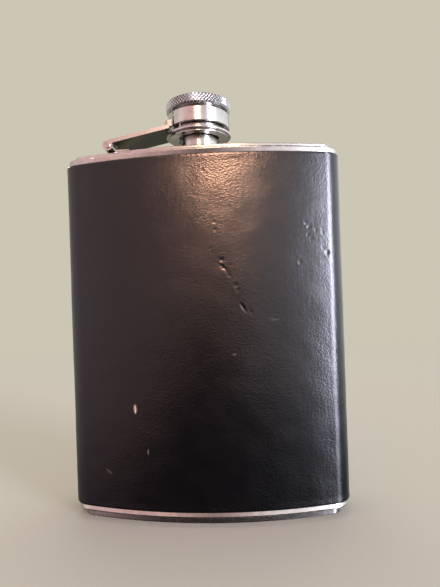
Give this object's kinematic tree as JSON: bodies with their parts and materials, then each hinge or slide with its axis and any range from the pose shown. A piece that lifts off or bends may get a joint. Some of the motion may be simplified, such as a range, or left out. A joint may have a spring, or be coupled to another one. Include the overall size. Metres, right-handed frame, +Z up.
{
  "type": "hip flask",
  "caption": "Curved pocket flask in smooth leather with metal end plates and a knurled screw cap kept on by a collar and a hinged arm.",
  "frame": {"origin": "on the spout's axis, in the plane of the flask's flat base", "axes": "+Z up along the spout, +X to the right and -Y out of the bowed front; the hinge is on the -X side"},
  "size_m": [0.095, 0.0257, 0.1408],
  "materials": {
    "inner_steel": "drawn stainless sheet, bare inside",
    "black_leather": "smooth black leather, semi-gloss, with fine grain, scratches and dents",
    "plate_steel": "satin stainless, rubbed bright along its edges, with small dents and scratches",
    "turned_steel": "turned stainless with fine lathe lines",
    "arm_steel": "polished stainless strip with light rub marks",
    "knurled_steel": "knurled stainless, dull in its grooves",
    "seal_rubber": "soft pale silicone"
  },
  "bodies": {
    "flask": {"body_shell": "inner_steel", "leather_wrap": "black_leather", "top_plate": "plate_steel", "bottom_plate": "plate_steel", "neck_spout": "turned_steel", "hinge_bracket": "arm_steel"},
    "pin": {"hinge_pin": "turned_steel"},
    "arm": {"hinge_arm": "arm_steel", "collar_band": "arm_steel"},
    "seal": {"cap_gasket": "seal_rubber"},
    "cap": {"cap_insert": "turned_steel", "cap_head": "knurled_steel"}
  },
  "joints": [
    {"name": "arm_lift", "type": "hinge", "parent": "flask", "child": "pin", "pos_m": [-0.0304, 0, 0.1266], "axis": [0, -1, 0], "range_deg": [0, 5.6]},
    {"name": "arm_swing", "type": "hinge", "parent": "pin", "child": "arm", "pos_m": [-0.0304, 0, 0.1266], "axis": [0, -1, 0], "range_deg": [0, 160]},
    {"name": "cap_level", "type": "hinge", "parent": "arm", "child": "seal", "pos_m": [0, 0, 0.1266], "axis": [0, -1, 0], "range_deg": [-5.6, 0]},
    {"name": "cap_turn", "type": "hinge", "parent": "seal", "child": "cap", "pos_m": [0, 0, 0.1266], "axis": [0, 0, 1], "range_deg": [0, 850]}
  ],
  "couplings": [
    {"joint": "arm_lift", "follows": "cap_turn", "ratio": 0.0065442},
    {"joint": "cap_level", "follows": "cap_turn", "ratio": -0.0065442}
  ]
}
